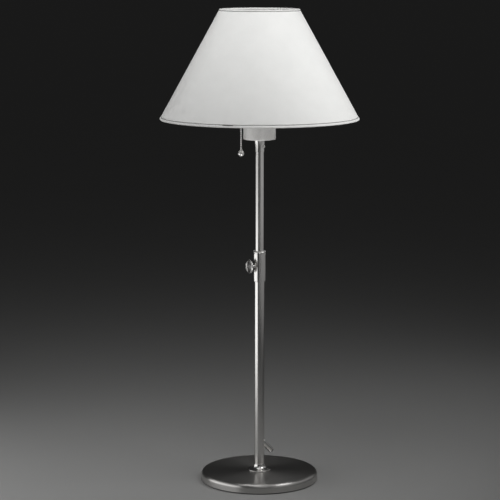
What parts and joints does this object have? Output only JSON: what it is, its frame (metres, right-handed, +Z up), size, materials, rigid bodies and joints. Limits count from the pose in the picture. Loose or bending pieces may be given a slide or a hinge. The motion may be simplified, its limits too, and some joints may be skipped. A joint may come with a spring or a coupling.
{
  "type": "pharmacy floor lamp",
  "caption": "Floor lamp with a round weighted base, a telescopic metal column with a thumb screw clamp, a pull chain switch and a white empire shade on a harp.",
  "frame": {"origin": "centre of the base's underside, on the floor", "axes": "+Z up along the column, -X towards the pull chain, -Y towards the viewer"},
  "size_m": [0.5037, 0.5036, 1.21],
  "materials": {
    "satin_nickel": "satin nickel plate with a fine lengthwise brushing",
    "spun_nickel": "nickel plate with fine concentric spinning lines",
    "matt_nickel": "bead-blasted nickel plate, matt",
    "bright_nickel": "polished nickel plate",
    "zinc_steel": "bright zinc-plated steel",
    "black_steel": "blackened steel",
    "cast_iron": "rough casting, grey primer",
    "brass": "lacquered brass, slightly dulled",
    "felt": "pressed wool felt",
    "black_plastic": "moulded nylon",
    "porcelain": "glazed porcelain",
    "cardboard": "pressed insulating board",
    "bulb_metal": "rolled aluminium",
    "black_glass": "fused black glass",
    "frosted_glass": "inside-frosted glass, unlit",
    "white_wire": "white powder-coated wire",
    "shade_fabric": "plain-weave cotton laminated on a stiff white backing",
    "binding_tape": "folded bias tape, glued"
  },
  "bodies": {
    "stand": {"felt_pad": "felt", "base_weight": "cast_iron", "base_cover": "spun_nickel", "base_washer": "zinc_steel", "base_bolt": "zinc_steel", "column_foot_plug": "zinc_steel", "foot_flange": "satin_nickel", "lower_tube": "satin_nickel", "cord_outlet": "satin_nickel", "outlet_bush": "black_plastic", "clamp_collar": "satin_nickel", "collar_bush": "black_plastic", "collar_ring": "satin_nickel", "collar_set_screw": "black_steel"},
    "clamp_shoe": {"clamp_shoe": "brass"},
    "clamp_knob": {"clamp_screw": "zinc_steel", "knob_head": "satin_nickel"},
    "mast_guide": {"guide_bush": "black_plastic"},
    "mast": {"upper_tube": "satin_nickel", "neck_coupler": "satin_nickel", "neck_set_screw": "satin_nickel", "head_nipple": "brass", "socket_cup": "matt_nickel", "harp_saddle": "brass", "riser_sleeve": "brass", "socket_cap": "brass", "socket_shell": "brass", "socket_liner": "cardboard", "socket_body": "porcelain", "terminal_screws": "brass", "screw_shell": "brass", "centre_contact": "brass", "lever_pin": "zinc_steel", "lever_spring": "zinc_steel", "chain_guide": "satin_nickel", "bulb_contact": "bulb_metal", "bulb_insulator": "black_glass", "bulb_cap": "bulb_metal", "bulb_glass": "frosted_glass", "harp_ferrules": "brass", "harp_wire": "brass", "harp_stud": "brass", "spider": "white_wire", "finial": "satin_nickel", "top_wire_ring": "white_wire", "bottom_wire_ring": "white_wire", "shade_panel": "shade_fabric", "top_binding": "binding_tape", "bottom_binding": "binding_tape"},
    "switch_lever": {"switch_lever": "brass"},
    "inner_chain": {"inner_chain": "bright_nickel"},
    "chain_lead": {"chain_lead_bead": "bright_nickel"},
    "chain_pivot": {"chain_pivot_bead": "bright_nickel"},
    "chain_hang": {"pull_chain": "bright_nickel", "chain_coupling": "bright_nickel", "chain_ball": "bright_nickel"}
  },
  "joints": [
    {"name": "height_slide", "type": "slide", "parent": "stand", "child": "mast_guide", "axis": [0, 0, 1], "range_m": [-0.23, 0.15]},
    {"name": "mast_swivel", "type": "hinge", "parent": "mast_guide", "child": "mast", "pos_m": [0, 0, 0.367], "axis": [0, 0, 1], "range_deg": [-170, 170]},
    {"name": "clamp_travel", "type": "slide", "parent": "stand", "child": "clamp_shoe", "axis": [-0.866, -0.5, 0], "range_m": [0, 0.00102]},
    {"name": "clamp_turn", "type": "hinge", "parent": "clamp_shoe", "child": "clamp_knob", "pos_m": [0, 0, 0.56], "axis": [-0.866, -0.5, 0], "range_deg": [0, 360]},
    {"name": "chain_pull", "type": "slide", "parent": "mast", "child": "chain_lead", "axis": [0, 0, -1], "range_m": [0, 0.006], "stiffness_N_per_m": 500, "springref_m": -0.004},
    {"name": "chain_swing_across", "type": "hinge", "parent": "chain_lead", "child": "chain_pivot", "pos_m": [-0.0465, 0, 0.917], "axis": [1, 0, 0], "range_deg": [-20, 20]},
    {"name": "chain_swing_out", "type": "hinge", "parent": "chain_pivot", "child": "chain_hang", "pos_m": [-0.0465, 0, 0.917], "axis": [0, 1, 0], "range_deg": [-4, 25]},
    {"name": "lever_turn", "type": "hinge", "parent": "mast", "child": "switch_lever", "pos_m": [-0.01, 0, 0.92], "axis": [0, -1, 0], "range_deg": [0, 39]},
    {"name": "inner_chain_slide", "type": "slide", "parent": "mast", "child": "inner_chain", "axis": [-1, 0, 0], "range_m": [0, 0.006]}
  ],
  "couplings": [
    {"joint": "clamp_travel", "follows": "clamp_turn", "m_per_rad": 0.00015915},
    {"joint": "lever_turn", "follows": "chain_pull", "rad_per_m": 113.28},
    {"joint": "inner_chain_slide", "follows": "chain_pull", "ratio": 1}
  ]
}
